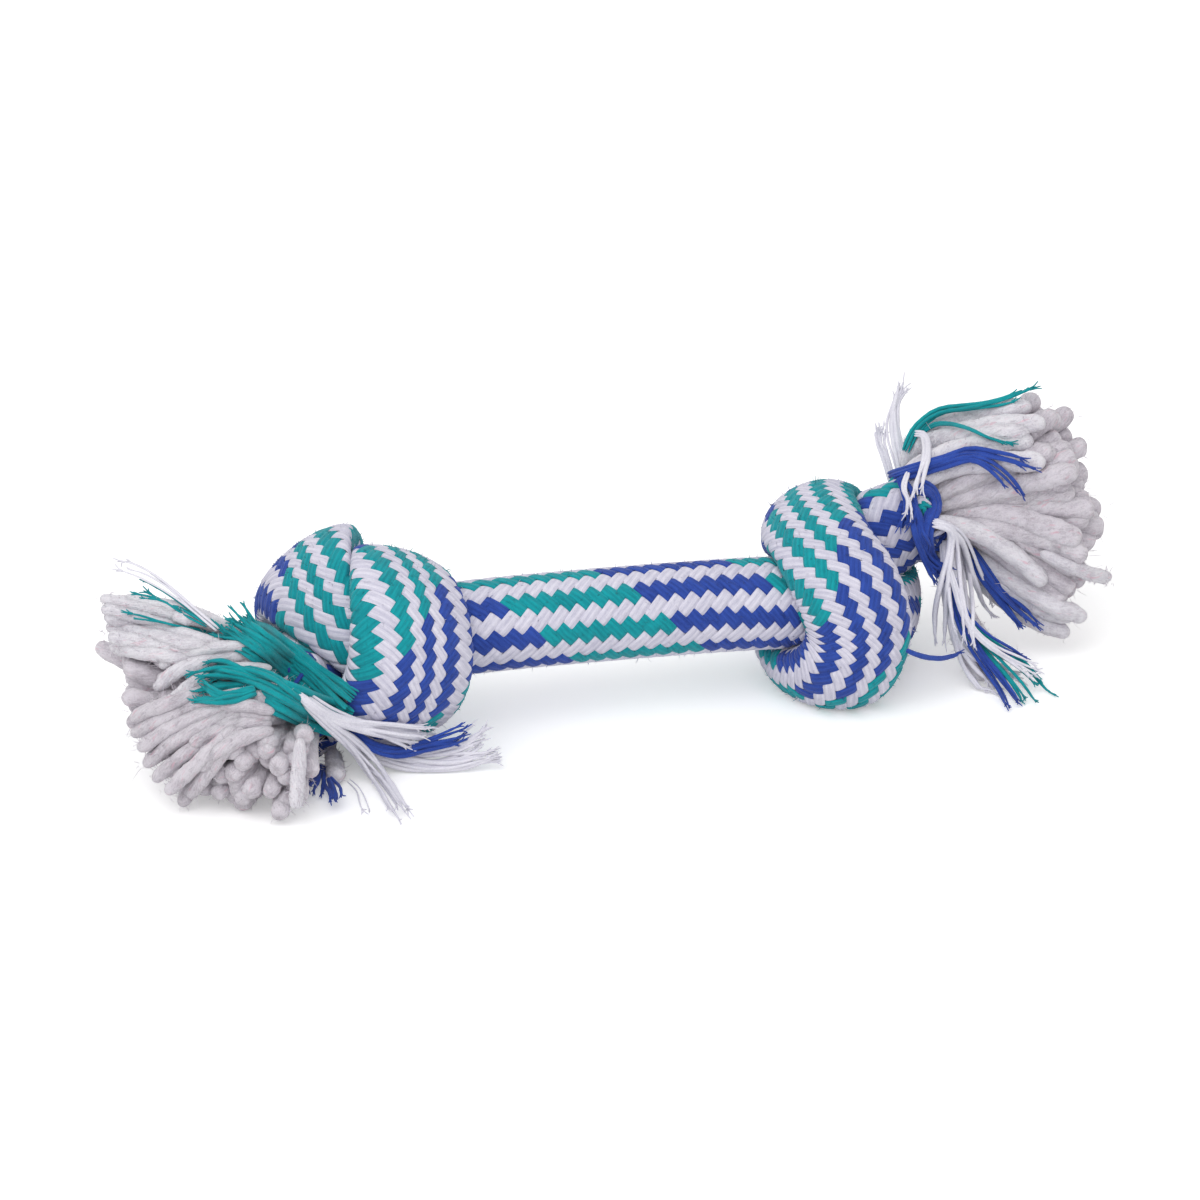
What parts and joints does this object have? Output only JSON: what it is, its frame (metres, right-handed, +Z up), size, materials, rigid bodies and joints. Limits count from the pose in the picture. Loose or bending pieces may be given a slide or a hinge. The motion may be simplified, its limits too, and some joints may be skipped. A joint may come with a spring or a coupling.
{
  "type": "rope dog toy",
  "caption": "Braided cotton rope dog toy with an overhand knot near each end and frayed yarn tassels beyond the knots.",
  "frame": {"origin": "bottom centre of the toy's box, on the surface that both knots lie on", "axes": "+X along the rope from the left knot to the right knot, +Z up, -Y towards the side that the picture shows"},
  "size_m": [0.2382, 0.0826, 0.0605],
  "materials": {
    "braided_sleeve": "matt two-up two-down cotton braid in teal, blue and white",
    "core_yarn": "matt fuzzy pale grey cotton yarn",
    "teal_yarn": "matt frayed teal cotton",
    "blue_yarn": "matt frayed blue cotton",
    "white_yarn": "matt frayed white cotton"
  },
  "bodies": {
    "left_half": {"left_knot_sleeve": "braided_sleeve", "left_knot_core": "core_yarn", "centre_sleeve": "braided_sleeve", "centre_core": "core_yarn", "left_tassel_yarns": "core_yarn", "left_fray_teal_long": "teal_yarn", "left_fray_teal_short": "teal_yarn", "left_fray_white_front": "white_yarn", "left_fray_white_back": "white_yarn", "left_fray_blue_side": "blue_yarn"},
    "right_half": {"right_knot_sleeve": "braided_sleeve", "right_knot_core": "core_yarn", "right_tassel_yarns": "core_yarn", "right_fray_teal_top": "teal_yarn", "right_fray_blue_top": "blue_yarn", "right_fray_white_back": "white_yarn", "right_fray_white_front": "white_yarn", "right_fray_blue_low": "blue_yarn"}
  },
  "joints": [
    {"name": "rope_flex", "type": "hinge", "parent": "left_half", "child": "right_half", "pos_m": [-0.0002, 0.0047, 0.024], "axis": [0, 0, 1], "range_deg": [-40, 40], "stiffness_Nm_per_rad": 0.12, "deforming": ["centre_sleeve", "centre_core"]}
  ]
}
